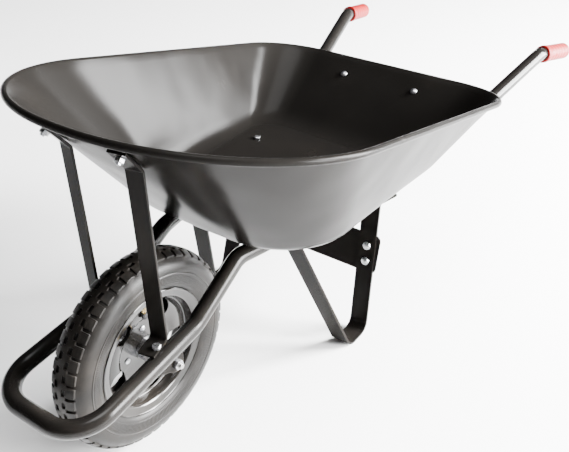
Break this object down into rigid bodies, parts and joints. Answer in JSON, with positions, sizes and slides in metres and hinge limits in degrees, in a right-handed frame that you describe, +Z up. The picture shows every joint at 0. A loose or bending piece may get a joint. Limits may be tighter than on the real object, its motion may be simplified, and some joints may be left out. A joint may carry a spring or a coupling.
{
  "type": "wheelbarrow",
  "caption": "Single-wheel builder's wheelbarrow with a deep steel tray, a one-piece tube frame, strap legs, front stays and a pneumatic wheel that spins.",
  "frame": {"origin": "on the ground under the middle of the whole object", "axes": "+Z up, the wheel at -Y and the handles at +Y, left as the person pushing it sees it at +X"},
  "size_m": [0.6634, 1.5183, 0.6675],
  "materials": {
    "frame_paint": "gloss black paint on steel tube and bar",
    "tray_paint": "gloss black paint on pressed sheet",
    "rim_paint": "gloss black paint on pressed sheet",
    "red_grip": "soft red grip",
    "tyre_rubber": "matt black rubber",
    "bright_steel": "bare steel",
    "zinc_plate": "bright zinc plate",
    "valve_brass": "plain brass",
    "valve_cap_plastic": "black plastic"
  },
  "bodies": {
    "frame": {"axle": "bright_steel", "frame_tube": "frame_paint", "left_axle_bracket": "frame_paint", "left_axle_nut": "zinc_plate", "left_back_wall_bolt": "zinc_plate", "left_back_wall_nut": "zinc_plate", "left_brace_foot_bolt": "zinc_plate", "left_brace_foot_nut": "zinc_plate", "left_front_stay": "frame_paint", "left_grip": "red_grip", "left_leg": "frame_paint", "left_leg_back_bolt": "zinc_plate", "left_leg_back_nut": "zinc_plate", "left_leg_front_bolt": "zinc_plate", "left_leg_front_nut": "zinc_plate", "left_plate_lower_rivet": "zinc_plate", "left_plate_upper_rivet": "zinc_plate", "left_spacer": "zinc_plate", "left_stay_foot_bolt": "zinc_plate", "left_stay_foot_nut": "zinc_plate", "left_stay_top_bolt": "zinc_plate", "left_stay_top_nut": "zinc_plate", "leg_cross_plate": "frame_paint", "rear_tray_brace": "frame_paint", "right_axle_bracket": "frame_paint", "right_axle_nut": "zinc_plate", "right_back_wall_bolt": "zinc_plate", "right_back_wall_nut": "zinc_plate", "right_brace_foot_bolt": "zinc_plate", "right_brace_foot_nut": "zinc_plate", "right_front_stay": "frame_paint", "right_grip": "red_grip", "right_leg": "frame_paint", "right_leg_back_bolt": "zinc_plate", "right_leg_back_nut": "zinc_plate", "right_leg_front_bolt": "zinc_plate", "right_leg_front_nut": "zinc_plate", "right_plate_lower_rivet": "zinc_plate", "right_plate_upper_rivet": "zinc_plate", "right_spacer": "zinc_plate", "right_stay_foot_bolt": "zinc_plate", "right_stay_foot_nut": "zinc_plate", "right_stay_top_bolt": "zinc_plate", "right_stay_top_nut": "zinc_plate", "rim_wire": "bright_steel", "tray": "tray_paint"},
    "wheel": {"tyre": "tyre_rubber", "inner_tube": "tyre_rubber", "left_rim_half": "rim_paint", "right_rim_half": "rim_paint", "wheel_hub": "zinc_plate", "left_bearing": "bright_steel", "right_bearing": "bright_steel", "valve_stem": "valve_brass", "valve_cap": "valve_cap_plastic", "wheel_rivet_1": "zinc_plate", "wheel_rivet_2": "zinc_plate", "wheel_rivet_3": "zinc_plate", "wheel_rivet_4": "zinc_plate"}
  },
  "joints": [
    {"name": "wheel_spin", "type": "hinge", "parent": "frame", "child": "wheel", "pos_m": [0, -0.50766, 0.19], "axis": [1, 0, 0], "continuous": true}
  ]
}
